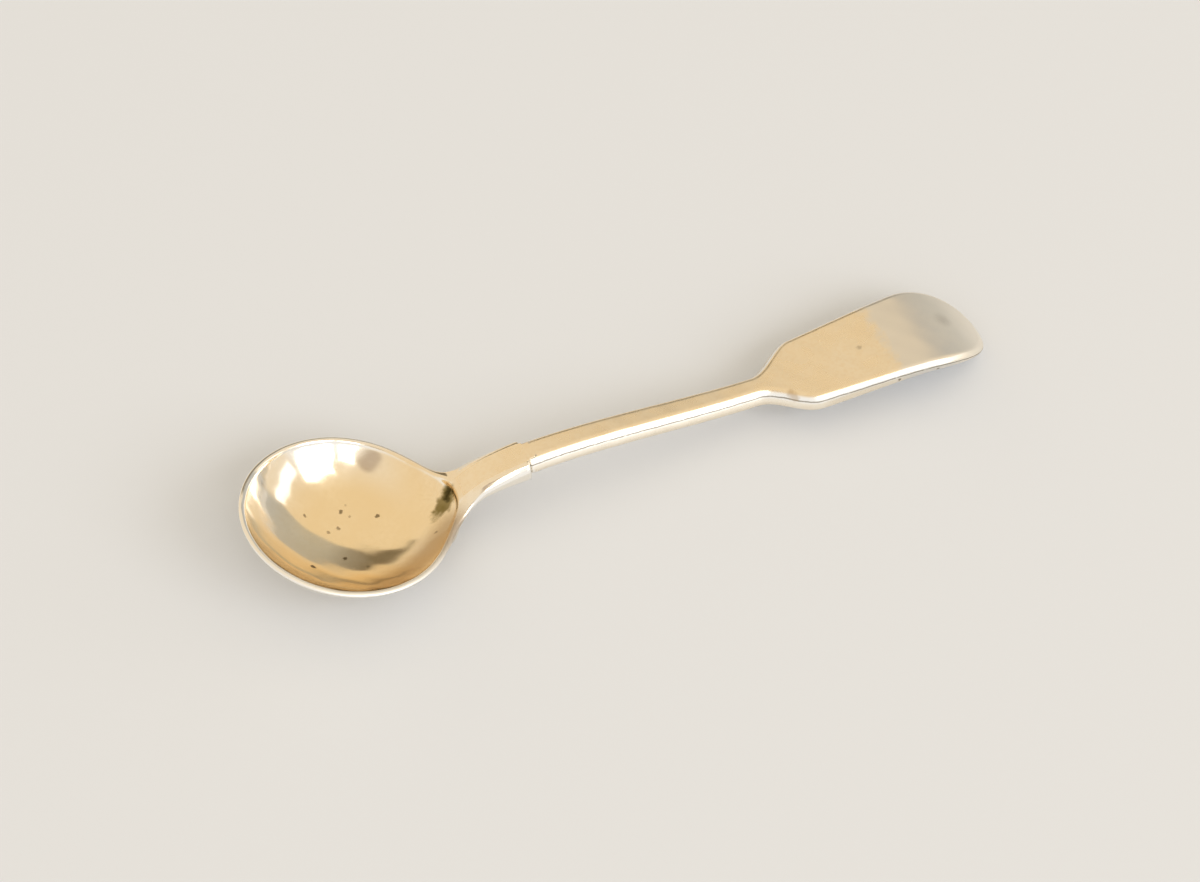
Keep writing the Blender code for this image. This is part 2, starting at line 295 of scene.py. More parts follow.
# Marks on the metal are placed by x and y from the middle of the rim and z from the table.
# Richer gilding in the midst of the bowl, with a radius and a softness
BOWL_MIDST = ((2.3, 0.0, 2.0), 9.5, 3.0)
# Brown haze on a wall of the bowl, from one place to another, with a radius and a softness
WALL_HAZE = ((2.0, -9.0, 4.0), (11.8, -4.6, 3.7), 2.4, 1.6)
# Painted shade on the heel's wall and under its lip, from one place to another, with a radius, a softness, a
# share and a colour
HEEL_PAINTED_SHADE = (
    ((11.7, -0.85, 3.05), (10.3, -1.5, 2.67), 0.5, 0.4, 0.45, PAINTED_HEEL_SHADE),
    ((13.3, 0.75, 3.7), (11.7, -0.85, 3.05), 0.95, 0.35, 0.85, PAINTED_HEEL_SHADE),
    ((13.5, 0.85, 3.86), (12.8, 0.4, 3.45), 0.5, 0.3, 0.9, PAINTED_HEEL_SHADE_DARK),
)
# Pits, with a radius and a share
BOWL_PITS = (
    ((-4.09, 4.79, 3.16), 0.20, 0.7),
    ((0.38, 4.64, 1.72), 0.26, 0.8),
    ((1.17, 3.78, 1.39), 0.16, 0.4),
    ((1.24, 5.32, 1.88), 0.15, 0.4),
    ((4.43, 2.67, 1.20), 0.28, 0.8),
    ((-0.67, 2.61, 1.41), 0.26, 0.6),
    ((-2.06, 2.32, 1.71), 0.22, 0.5),
    ((-5.68, -3.13, 3.51), 0.32, 0.9),
    ((-1.42, -2.13, 1.50), 0.26, 0.9),
    ((0.70, -4.38, 1.60), 0.24, 0.7),
    ((9.79, -3.83, 2.97), 0.22, 0.5),
)
# Zones of painted reflection on the tip, greyer then paler: where each starts along x, half the run over
# which it does, and its colour
TIP_PAINTED_REFLECTION = (
    (72.4, 1.0, GREY_TIP_REFLECTION),
    (79.5, 2.5, TIP_PALE),
)
# Painted shade in a notch of the handle, from one place to another, with a radius and a softness
NOTCH_PAINTED_SHADE = ((58.1, -2.9, 5.4), (58.5, -3.6, 5.1), 0.45, 0.3)
# Two specks on the bevel, a smudge on the tip and a pit in the pad, each with a radius, a softness, a share
# and a dulling
HANDLE_SPOTS = (
    ((71.94, -6.21, 5.18), 0.2, 0.1, 0.8, 0.2),
    ((77.28, -6.45, 5.01), 0.2, 0.1, 0.8, 0.2),
    ((81.7, 0.5, 5.2), 0.9, 0.8, 0.2, 0.1),
    ((69.1, -0.15, 6.23), 0.3, 0.2, 0.35, 0.1),
)

# Camera, from the photograph's viewing angle, with angles in degrees
CAMERA_AZIMUTH = 23.3
CAMERA_ELEVATION = 51.7
CAMERA_DISTANCE = 0.30497
CAMERA_TARGET = Vector((-0.00252, 0.00347, 0.0))
CAMERA_LENS = 72.0
CAMERA_NEAR = 0.01

# Floor
FLOOR_REACH = 3.0
FLOOR_COLOUR = (0.75, 0.79, 0.86, 1.0)
FLOOR_ROUGHNESS = 0.7

# Room: directions in degrees, and the ranges of height or direction over which each patch comes in or fades
ROOM_WARM = (0.90, 0.77, 0.58, 1.0)
ROOM_GREY = (0.54, 0.53, 0.50, 1.0)
ROOM_DARK = (0.22, 0.18, 0.12, 1.0)
ROOM_BRIGHT = (0.95, 0.95, 0.95, 1.0)
ROOM_DIM = (0.56, 0.45, 0.34, 1.0)
PANE_WHITE = (1.7, 1.7, 1.7, 1.0)
BACK_AZIMUTH = 33.0
RIGHT_AZIMUTH = 80.0
HILL_SLOPE = 0.75
HILL_CREST = (-0.105, -0.055)
HILL_SIDES = (0.4, 0.6)
HILL_SHADE = (0.35, 0.98)
HILL_FOOT_SLOPE = 0.5
HILL_FOOT = (0.38, 0.44)
FRONT_TOP = (0.40, 0.75)
FRONT_SIDES = (-0.4, 0.1)
PANE_AZIMUTH = 108.0
PANE_SIDES = (0.955, 0.975)
PANE_FOOT = (0.17, 0.21)
PANE_TOP = (0.36, 0.41)
DIM_PLACE = (205.0, 50.0)
DIM_EDGE = (0.976, 0.996)

# Lamps, each with a name, its azimuth and elevation, its two spans and its roll, in degrees
WINDOW_LIGHT = 3.0
WINDOW_DISTANCE = 2.5
WINDOW_TARGET = Vector((RIM_CENTRE_X * MM, 0.0, 0.005))
WINDOWS = (
    ("window", (145.5, 31.5), (30.0, 31.0), -29.0),
    ("window_side", (180.5, 39.5), (14.0, 20.0), -27.0),
)


def blend(t):
    """Smooth step from 0 to 1."""
    t = np.clip(t, 0.0, 1.0)
    return t * t * (3.0 - 2.0 * t)


def smooth_max(a, b, width):
    """Larger of two fields, with the edge between them rounded over this width."""
    overlap = np.maximum(width - np.abs(a - b), 0.0) / width
    return np.maximum(a, b) + 0.25 * width * overlap ** 2


def smooth_min(a, b, width):
    """Smaller of two fields, with a fillet of this width between them."""
    return -smooth_max(-a, -b, width)


def soft_ramp(t, width):
    """Zero below zero and t above it, with the corner rounded over this width."""
    reach = np.clip(t + 0.5 * width, 0.0, width)
    return 0.5 * reach ** 2 / width + np.maximum(t - 0.5 * width, 0.0)


def edge_line(out, depth, start, end):
    """Distance outside the line from start to end, both given as (out, depth) of a cross-section."""
    run = end[0] - start[0]
    drop = end[1] - start[1]
    return ((out - start[0]) * drop - (depth - start[1]) * run) / np.hypot(run, drop)


def slope_of(curve, x):
    """Slope of a curve at x."""
    return (curve(x + SLOPE_STEP) - curve(x - SLOPE_STEP)) / (2.0 * SLOPE_STEP)


def top_height(x):
    """Height of the top face along the middle of the neck and handle."""
    height = HEEL_HEIGHT + HEEL_SLOPE * (x - HOLLOW_HEEL_X)
    for start, end in zip(STATIONS, STATIONS[1:]):
        span = end[0] - start[0]
        t = (x - start[0]) / span
        rise = start[1] * (1.0 + 2.0 * t) * (1.0 - t) ** 2 + end[1] * t * t * (3.0 - 2.0 * t)
        rise = rise + span * t * (1.0 - t) * (start[2] * (1.0 - t) - end[2] * t)
        height = np.where(x >= start[0], rise, height)
    height = height - LIP_DIP * blend((HOLLOW_HEEL_X - x) / LIP_RUN + 1.0)
    return np.where(x > TIP_X, TIP_HEIGHT + TIP_SLOPE * (x - TIP_X), height)


def ripple(x, y):
    """Faint unevenness of the surface."""
    return RIPPLE * sum(np.sin(along * x + across * y + start) for along, across, start in RIPPLE_WAVES)


def neck_half_width(x):
    """Half width of the neck, which flares into the rim of the bowl."""
    reach = np.maximum(FLARE_END_X - x, 0.0) / FLARE_LENGTH
    return NECK_HALF_WIDTH + FLARE_REACH * reach ** FLARE_POWER


def straight_half_width(x):
    """Half width of the handle at its bevels, without its round tip: stem, shoulders and terminal."""
    taper = np.clip((x - STEM_FACE_X) / (SHOULDER_X - STEM_FACE_X), 0.0, 1.0)
    stem = STEM_HALF_WIDTH + (WAIST_HALF_WIDTH - STEM_HALF_WIDTH) * taper
    pad_start = SHOULDER_X + SHOULDER_LENGTH
    along = np.clip((x - pad_start) / (TIP_ROUND_X - pad_start), 0.0, 1.0)
    pad = PAD_ROOT_HALF_WIDTH + (PAD_HALF_WIDTH - PAD_ROOT_HALF_WIDTH) * along
    return stem + (pad - stem) * blend((x - SHOULDER_X) / SHOULDER_LENGTH)


def tongue_depth(x):
    """Depth of the tongue under its top face, thinner at its nose."""
    along = (x - TONGUE_NOSE_X) / (STEM_FACE_X - TONGUE_NOSE_X)
    return TONGUE_NOSE_DEPTH + (TONGUE_DEPTH - TONGUE_NOSE_DEPTH) * along


def stem_thickness(x):
    """Thickness of the handle from the stem's face to the tip."""
    along = (x - STEM_FACE_X) / (TIP_X - STEM_FACE_X)
    return STEM_THICKNESS + (TIP_THICKNESS - STEM_THICKNESS) * along


def rim_place(x, z):
    """Distance along the tilted rim plane and height above it."""
    up = z - RIM_HEIGHT
    return (x * math.cos(RIM_TILT) - up * math.sin(RIM_TILT),
            x * math.sin(RIM_TILT) + up * math.cos(RIM_TILT))


def hollow_spread(u, y, share):
    """Distance from the middle of the hollow, squeezed so that its pointed outline becomes round."""
    out = np.hypot(u / HOLLOW_HALF_LENGTH, y / HOLLOW_HALF_WIDTH)
    heelward = np.maximum(u / HOLLOW_HALF_LENGTH, 0.0) / np.maximum(out, SLOPE_STEP)
    scoop = HEEL_SCOOP * heelward ** HEEL_SHARPNESS * share ** HEEL_SHALLOWNESS
    return np.hypot(u * HOLLOW_HALF_WIDTH / (HOLLOW_HALF_LENGTH + scoop), y)


def hollow_field(x, y, z):
    """Room inside the bowl, drawn out to a soft point at the heel."""
    u, w = rim_place(x, z)
    low = w - soft_ramp(w, HOLLOW_EASE) + HOLLOW_DEPTH - HOLLOW_RADIUS
    share = np.sqrt(np.maximum(HOLLOW_RADIUS ** 2 - low ** 2, 0.0)) / HOLLOW_HALF_WIDTH
    return np.hypot(hollow_spread(u, y, share), low) - HOLLOW_RADIUS


def neck_top(x, y, z):
    """Height over the neck's flat top and its facets."""
    y = np.abs(y)
    width = neck_half_width(x)
    flat = TONGUE_HALF_WIDTH + LAP_GAP + NECK_LAND
    bevel_start = flat + NECK_FACET_RUN
    facet_slope = NECK_FACET_DROP / NECK_FACET_RUN
    bevel_drop = NECK_SIDE_SHARE * neck_side_depth(x) - NECK_FACET_DROP
    bevel_slope = bevel_drop / (width - NECK_SIDE_RUN - bevel_start)
    surface = facet_slope * soft_ramp(y - flat, NECK_ROUND)
    surface = surface + (bevel_slope - facet_slope) * soft_ramp(y - bevel_start, NECK_ROUND)
    lean = np.hypot(slope_of(top_height, x), np.where(y > bevel_start, bevel_slope, 0.0))
    return (surface - top_height(x) + z) / np.hypot(1.0, lean)


def neck_side_depth(x):
    """Depth of the neck's sides under its top."""
    along = (x - NECK_ROOT_X) / (NECK_END_X - NECK_ROOT_X)
    return NECK_ROOT_SIDE_DEPTH + (NECK_SIDE_DEPTH - NECK_ROOT_SIDE_DEPTH) * along


def neck_body(x, y, z):
    """Sloped sides and keeled back of the neck, from its root in the bowl to its end."""
    along = (x - NECK_ROOT_X) / (NECK_END_X - NECK_ROOT_X)
    thickness = NECK_ROOT_THICKNESS + (NECK_THICKNESS - NECK_ROOT_THICKNESS) * along
    side = neck_side_depth(x)
    y = np.abs(y)
    depth = top_height(x) - z
    width = neck_half_width(x)
    wall = edge_line(y, depth, (width - NECK_SIDE_RUN, NECK_SIDE_SHARE * side), (width, side))
    wall = wall / np.hypot(1.0, slope_of(neck_half_width, x))
    keel = edge_line(y, depth, (width, side), (NECK_KEEL_HALF_WIDTH, thickness))
    solid = smooth_max(wall, keel, NECK_ROUND)
    solid = smooth_max(solid, (depth - thickness) / np.hypot(1.0, slope_of(top_height, x)), NECK_ROUND)
    solid = smooth_max(solid, NECK_ROOT_X - x, NECK_FILLET)
    return smooth_max(solid, x - NECK_END_X, NECK_END_ROUND)


def lap_field(x, y, z, grow, lift):
    """Tongue of the handle, grown on its sides, nose and bed, with its top lifted."""
    depth = top_height(x) - z
    solid = np.maximum(np.abs(y) - TONGUE_HALF_WIDTH - grow, TONGUE_NOSE_X - grow - x)
    solid = smooth_max(solid, depth - tongue_depth(x) - grow, LAP_ROUND)
    return smooth_max(solid, -depth - lift, LAP_ROUND)


def bowl_field(x, y, z):
    """Bowl and neck in one, hollowed, with the seat for the tongue and a worn foot."""
    u, w = rim_place(x, z)
    across = np.hypot(u * RIM_HALF_WIDTH / RIM_HALF_LENGTH, y)
    outer = np.hypot(across, w + BOWL_DEPTH - OUTER_RADIUS) - OUTER_RADIUS
    past_hollow = hollow_spread(u, y, 1.0) - HOLLOW_HALF_WIDTH
    brim = edge_line(past_hollow, -w, (0.0, -RIM_CREST), (RIM_BAND - RIM_SHRINK, RIM_FALL - RIM_CREST))
    top = smooth_min(brim, neck_top(x, y, z), NECK_TOP_FILLET)
    solid = smooth_max(smooth_min(outer, neck_body(x, y, z), NECK_FILLET), top, RIM_ROUND)
    at_crest = blend((CREST_END_X - x) / CREST_END_RUN) * blend(w / RIM_CREST + 1.0)
    solid = smooth_max(solid, ripple(x, y) - hollow_field(x, y, z), HEEL_ROUND + CREST_EXTRA_ROUND * at_crest)
    solid = smooth_max(solid, -lap_field(x, y, z, LAP_GAP, RIM_HEIGHT), LAP_ROUND)
    return smooth_max(solid, -z, FOOT_ROUND)


def worn_and_highlit(x, y, z):
    """How far the bowl shows silver, partly worn gilding and partly painted highlight: most on one side of
    its rim, and less down its walls.
    """
    u, w = rim_place(x, z)
    past_hollow = hollow_spread(u, y, 1.0) - HOLLOW_HALF_WIDTH
    rim = blend((w + RIM_FALL) / RIM_CREST) * blend(past_hollow / RIM_CREST + 1.0)
    rim = rim * blend(np.abs(y) / NECK_HALF_WIDTH + (x < 0.0)) * blend(0.5 - y / RIM_HALF_WIDTH)
    wall = blend((past_hollow + RUBBED_WALL) / RUBBED_WALL) * blend((NECK_ROOT_X - x) / RUBBED_WALL)
    return np.maximum(rim, RUBBED_WALL_SHARE * wall)


def outline_inset(x, y):
    """Distance in from the outline of the handle's bevels, seen from above."""
    y = np.abs(y)
    width = straight_half_width(x)
    straight = (width - y) / np.hypot(1.0, slope_of(straight_half_width, x))
    along = np.maximum(x - TIP_ROUND_X, 0.0) / TIP_ROUND_LENGTH
    across = y / width
    share = np.maximum((along ** TIP_POWER + across ** TIP_POWER) ** (1.0 / TIP_POWER), SLOPE_STEP)
    lean_x = (along / share) ** (TIP_POWER - 1.0) / TIP_ROUND_LENGTH
    lean_y = (across / share) ** (TIP_POWER - 1.0) / width
    return np.where(x > TIP_ROUND_X, (1.0 - share) / np.hypot(lean_x, lean_y), straight)


def stem_field(x, y, z):
    """Stem and terminal with bevelled edges and sloped sides, running on past the stem's face."""
    uneven = HANDLE_RIPPLE_SHARE * blend((x - RIPPLE_FROM_X) / RIPPLE_GROWTH) * ripple(x, y)
    depth = top_height(x) + uneven - z
    thickness = stem_thickness(x)
    base = thickness - BACK_RISE
    out = -outline_inset(x, y)
    turn_in = blend((x - SHOULDER_X) / (TIP_X - SHOULDER_X))
    spread = (SIDE_LEAN + (TIP_SIDE_LEAN - SIDE_LEAN) * turn_in) * (base - EDGE_DROP)
    steep = np.hypot(1.0, slope_of(top_height, x))
    bevel = edge_line(out, depth, (-EDGE_RUN, 0.0), (0.0, EDGE_DROP))
    side = edge_line(out, depth, (0.0, EDGE_DROP), (spread, base))
    back = edge_line(out, depth, (spread, base), (spread - BACK_RUN, thickness))
    solid = smooth_max(-depth / steep, bevel, EDGE_ROUND)
    solid = smooth_max(solid, side, EDGE_ROUND)
    solid = smooth_max(solid, back, BACK_ROUND)
    return smooth_max(solid, (depth - thickness) / steep, BACK_ROUND)


def handle_field(x, y, z):
    """Tongue, stem and terminal as one forging with a worn tip."""
    solid = smooth_max(stem_field(x, y, z), STEM_FACE_X - x, EDGE_ROUND)
    tongue = np.maximum(lap_field(x, y, z, 0.0, 0.0), x - STEM_FACE_X - TONGUE_OVERRUN)
    solid = smooth_min(solid, tongue, LAP_ROUND)
    return smooth_max(solid, -z, FOOT_ROUND)


def solder_field(x, y, z):
    """Film of solder that fills the lap and the butt between the neck and the stem."""
    outer = lap_field(x, y, z, LAP_GAP, 0.0)
    film = smooth_max(outer, -lap_field(x, y, z, 0.0, RIM_HEIGHT), LAP_ROUND)
    butt = smooth_max(stem_field(x, y, z) + BUTT_SUNK, NECK_END_X - x, LAP_ROUND)
    butt = smooth_max(butt, -lap_field(x, y, z, 0.0, RIM_HEIGHT), LAP_ROUND)
    return np.maximum(np.minimum(film, butt), x - STEM_FACE_X)


def fall(x, y, z):
    """Depth under the side line of the top face."""
    return top_height(x) - z


def gradient(field, points):
    """Slope of a field at points, along x, y and z."""
    sides = []
    for axis in range(3):
        step = np.zeros(3)
        step[axis] = SLOPE_STEP
        ahead = field(*(points + step).T)
        behind = field(*(points - step).T)
        sides.append((ahead - behind) / (2.0 * SLOPE_STEP))
    return np.stack(sides, axis=1)


def settle(field, points, cell):
    """Points moved onto the zero of a field, by no more than a cell at a time."""
    for step in range(SETTLE_STEPS):
        lean = gradient(field, points)
        move = field(*points.T) / np.maximum((lean ** 2).sum(1), SLOPE_STEP)
        points = points - np.clip(move, -cell, cell)[:, None] * lean
    return points


def lap_edge(points, corners, cell, grow, end):
    """Which cells hold an upper edge of the lap, and the places of their points on that edge."""
    side = TONGUE_HALF_WIDTH + grow
    nose = TONGUE_NOSE_X - grow
    ends = corners + cell
    heights = np.stack([top_height(corners[:, 0]), top_height(ends[:, 0])])
    level = (heights.min(0) <= ends[:, 2]) & (heights.max(0) >= corners[:, 2])
    level &= (ends[:, 0] > nose) & (corners[:, 0] < end)
    at_side = [(corners[:, 1] <= edge) & (ends[:, 1] > edge) & level for edge in (-side, side)]
    nose_height = top_height(nose)
    at_nose = (corners[:, 0] <= nose) & (corners[:, 1] <= side) & (ends[:, 1] > -side) & level
    at_nose &= (corners[:, 2] <= nose_height) & (ends[:, 2] > nose_height)
    place = np.clip(points, (nose, -side, 0.0), (end, side, CROWN_HEIGHT))
    place[at_side[0], 1] = -side
    place[at_side[1], 1] = side
    place[at_nose, 0] = nose
    place[:, 2] = top_height(place[:, 0])
    return at_side[0] | at_side[1] | at_nose, place


def clear_pinches(grid):
    """Fill one corner of each grid square whose inside corners would touch only across it."""
    for first, second in ((0, 1), (0, 2), (1, 2)) * PINCH_ROUNDS:
        turned = np.moveaxis(grid, (first, second), (0, 1))
        a, b, c, d = turned[:-1, :-1], turned[1:, 1:], turned[:-1, 1:], turned[1:, :-1]
        pinched = ((a < 0.0) == (b < 0.0)) & ((c < 0.0) == (d < 0.0)) & ((a < 0.0) != (c < 0.0))
        fill_c = pinched & (a < 0.0)
        fill_a = pinched & (c < 0.0)
        c[fill_c] = -PINCH_FILL
        a[fill_a] = -PINCH_FILL


def crossed_cells(grid, inside):
    """Index of each cell that the surface crosses, and the mean of its edges' crossings."""
    corners = [(i, j, k) for i in (0, 1) for j in (0, 1) for k in (0, 1)]
    shape = [n - 1 for n in grid.shape]
    count = np.zeros(shape, np.int8)
    for i, j, k in corners:
        count += inside[i:i + shape[0], j:j + shape[1], k:k + shape[2]]
    cells = np.argwhere((count > 0) & (count < len(corners)))
    total = np.zeros((len(cells), 3))
    hits = np.zeros(len(cells))
    for start in corners:
        for axis in range(3):
            if start[axis]:
                continue
            end = np.array(start)
            end[axis] = 1
            a = grid[tuple((cells + start).T)]
            b = grid[tuple((cells + end).T)]
            crossed = (a < 0.0) != (b < 0.0)
            share = np.where(crossed, a / np.where(crossed, a - b, 1.0), 0.0)
            place = np.array(start, float) + share[:, None] * (end - start)
            total += np.where(crossed[:, None], place, 0.0)
            hits += crossed
    return cells, total / hits[:, None]


def skin_quads(inside, ids):
    """Four cells round each grid edge that the surface crosses, turned to face out."""
    quads = []
    for axis in range(3):
        solid = np.moveaxis(inside, axis, 0)
        index = np.moveaxis(ids, axis, 0)
        crossed = np.argwhere(solid[:-1, 1:-1, 1:-1] != solid[1:, 1:-1, 1:-1])
        i, j, k = crossed.T
        ring = np.stack([index[i, j, k], index[i, j + 1, k],
                         index[i, j + 1, k + 1], index[i, j, k + 1]], axis=1)
        forward = solid[i, j + 1, k + 1]
        if axis == 1:
            forward = ~forward
        quads.append(np.where(forward[:, None], ring, ring[:, ::-1]))
    return np.concatenate(quads)


def neighbour_mean(values, quads):
    """Mean of a value at the neighbours of each point."""
    total = np.zeros_like(values)
    count = np.zeros(len(values))
    for side in range(4):
        here = quads[:, side]
        there = quads[:, (side + 1) % 4]
        np.add.at(total, here, values[there])
        np.add.at(total, there, values[here])
        np.add.at(count, here, 1.0)
        np.add.at(count, there, 1.0)
    return (total.T / count).T


def bend(points, normals, quads):
    """How sharply the surface turns at each point, in radians per millimetre, positive on edges."""
    total = np.zeros(len(points))
    count = np.zeros(len(points))
    for side in range(4):
        here = quads[:, side]
        there = quads[:, (side + 1) % 4]
        step = points[here] - points[there]
        span = np.maximum((step ** 2).sum(1), SLOPE_STEP ** 2)
        turn = ((normals[here] - normals[there]) * step).sum(1) / span
        for end in (here, there):
            np.add.at(total, end, turn)
            np.add.at(count, end, 1.0)
    return total / count


def make_skin(name, field, node, cell, margin, lap_grows, lap_end, mark):
    """Mesh object on the zero of a field, over the box of a node and a margin round it."""
    low, high = (np.array(corner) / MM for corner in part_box(node))
    shift = np.array((RIM_CENTRE_X, 0.0, 0.0))
    axes = [np.arange(lo - margin, hi + margin + cell, cell) for lo, hi in zip(low - shift, high - shift)]
    grid = field(*np.meshgrid(*axes, indexing="ij", sparse=True))
    clear_pinches(grid)
    inside = grid < 0.0
    cells, offsets = crossed_cells(grid, inside)
    ids = np.full([n - 1 for n in grid.shape], -1)
    ids[tuple(cells.T)] = np.arange(len(cells))
    quads = skin_quads(inside, ids)
    start = np.array([axis[0] for axis in axes])
    points = start + (cells + offsets) * cell
    edges = [lap_edge(points, start + cells * cell, cell, grow, lap_end) for grow in lap_grows]
    points = settle(field, points, cell)
    for step in range(RELAX_STEPS):
        for held, place in edges:
            points[held] = place[held]
        points = settle(field, neighbour_mean(points, quads), cell)
    normals = gradient(field, points)
    for held, place in edges:
        points[held] = place[held]
        lean = slope_of(top_height, place[held, 0])
        normals[held] = np.stack([-lean, np.zeros_like(lean), np.ones_like(lean)], axis=1)
    normals /= np.linalg.norm(normals, axis=1)[:, None]
    turn = np.clip(bend(points, normals, quads), -SHARPEST, SHARPEST)
    off_lap = np.clip(lap_field(*points.T, LAP_GAP, LAP_GAP) / LAP_WEAR_REACH, 0.0, 1.0)
    for step in range(EDGE_SPREAD):
        turn = neighbour_mean(turn * off_lap, quads)
    mesh = bpy.data.meshes.new(name)
    mesh.from_pydata(((points + shift) * MM).tolist(), [], quads.tolist())
    mesh.shade_smooth()
    mesh.normals_split_custom_set_from_vertices(normals.tolist())
    for label, values in (("bend", turn), (mark.__name__, mark(*points.T))):
        mesh.attributes.new(label, "FLOAT", "POINT").data.foreach_set("value", values)
    thing = bpy.data.objects.new(name, mesh)
    bpy.context.scene.collection.objects.link(thing)
    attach(thing, "root")
    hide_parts(node)
    return thing


class Nodes:
    """Node tree with short calls for the nodes that it is built from."""

    def __init__(self, tree):
        self.tree = tree

    def add(self, kind, inputs, **settings):
        """New node with its settings, and with values or links on its inputs."""
        node = self.tree.nodes.new(kind)
        for name, value in settings.items():
            setattr(node, name, value)
        for key, value in inputs.items():
            self.put(node, key, value)
        return node

    def put(self, node, key, value):
        """Value or link on one input of a node."""
        if isinstance(value, bpy.types.NodeSocket):
            self.tree.links.new(value, node.inputs[key])
        else:
            node.inputs[key].default_value = value

    def vector(self, operation, a, b, output):
        """Two vectors put together."""
        return self.add("ShaderNodeVectorMath", {0: a, 1: b}, operation=operation).outputs[output]

    def maths(self, operation, a, b):
        """Two numbers put together."""
        return self.add("ShaderNodeMath", {0: a, 1: b}, operation=operation).outputs[0]

    def ramp(self, value, low, high, start=0.0, end=1.0):
        """Smooth change from start to end while a value goes from low to high."""
        inputs = {"Value": value, "From Min": low, "From Max": high, "To Min": start, "To Max": end}
        return self.add("ShaderNodeMapRange", inputs, interpolation_type="SMOOTHSTEP").outputs[0]

    def mix(self, share, a, b):
        """Colour between two colours, which are inputs 6 and 7 and output 2 of a Mix node."""
        return self.add("ShaderNodeMix", {0: share, 6: a, 7: b}, data_type="RGBA").outputs[2]


class Shading(Nodes):
    """Node tree of one material, measured in millimetres."""

    def __init__(self, name):
        self.material = bpy.data.materials.new(name)
        self.material.use_nodes = True
        super().__init__(self.material.node_tree)
        self.shader = self.tree.nodes["Principled BSDF"]
        place = self.add("ShaderNodeTexCoord", {}).outputs["Object"]
        scaled = self.add("ShaderNodeVectorMath", {0: place, "Scale": 1.0 / MM}, operation="SCALE")
        self.place = scaled.outputs[0]

    def attribute(self, name):
        """Value that the mesh keeps at each point."""
        return self.add("ShaderNodeAttribute", {}, attribute_name=name).outputs["Fac"]

    def noise(self, size, detail, stretch=1.0, turn=0.0, shift=0.0):
        """Cloudy value with blobs of this size in millimetres, stretched along x before a turn."""
        scale = (1.0 / (size * stretch), 1.0 / size, 1.0 / size)
        turned = self.add("ShaderNodeMapping", {"Vector": self.place, "Rotation": (0.0, 0.0, turn)})
        moved = {"Vector": turned.outputs[0], "Location": (shift, shift, shift), "Scale": scale}
        placed = self.add("ShaderNodeMapping", moved)
        inputs = {"Vector": placed.outputs[0], "Scale": 1.0, "Detail": detail}
        return self.add("ShaderNodeTexNoise", inputs).outputs["Fac"]

    def streak(self, start, end, radius, softness, ragged):
        """One within a radius of the line between two places, and zero away from it."""
        first = Vector((start[0] + RIM_CENTRE_X, start[1], start[2]))
        run = Vector(end) - Vector(start)
        off = self.vector("SUBTRACT", self.place, first, "Vector")
        along = self.vector("DOT_PRODUCT", off, run / max(run.length_squared, SLOPE_STEP), "Value")
        along = self.add("ShaderNodeClamp", {"Value": along}).outputs[0]
        nearest = self.add("ShaderNodeVectorMath", {0: run, "Scale": along}, operation="SCALE").outputs[0]
        away = self.maths("ADD", self.vector("DISTANCE", off, nearest, "Value"), ragged)
        return self.ramp(away, radius - softness, radius + softness, 1.0, 0.0)

    def spot(self, centre, radius, softness, ragged):
        """One inside a round place and zero outside it."""
        middle = (centre[0] + RIM_CENTRE_X, centre[1], centre[2])
        away = self.maths("ADD", self.vector("DISTANCE", self.place, middle, "Value"), ragged)
        return self.ramp(away, radius - softness, radius + softness, 1.0, 0.0)


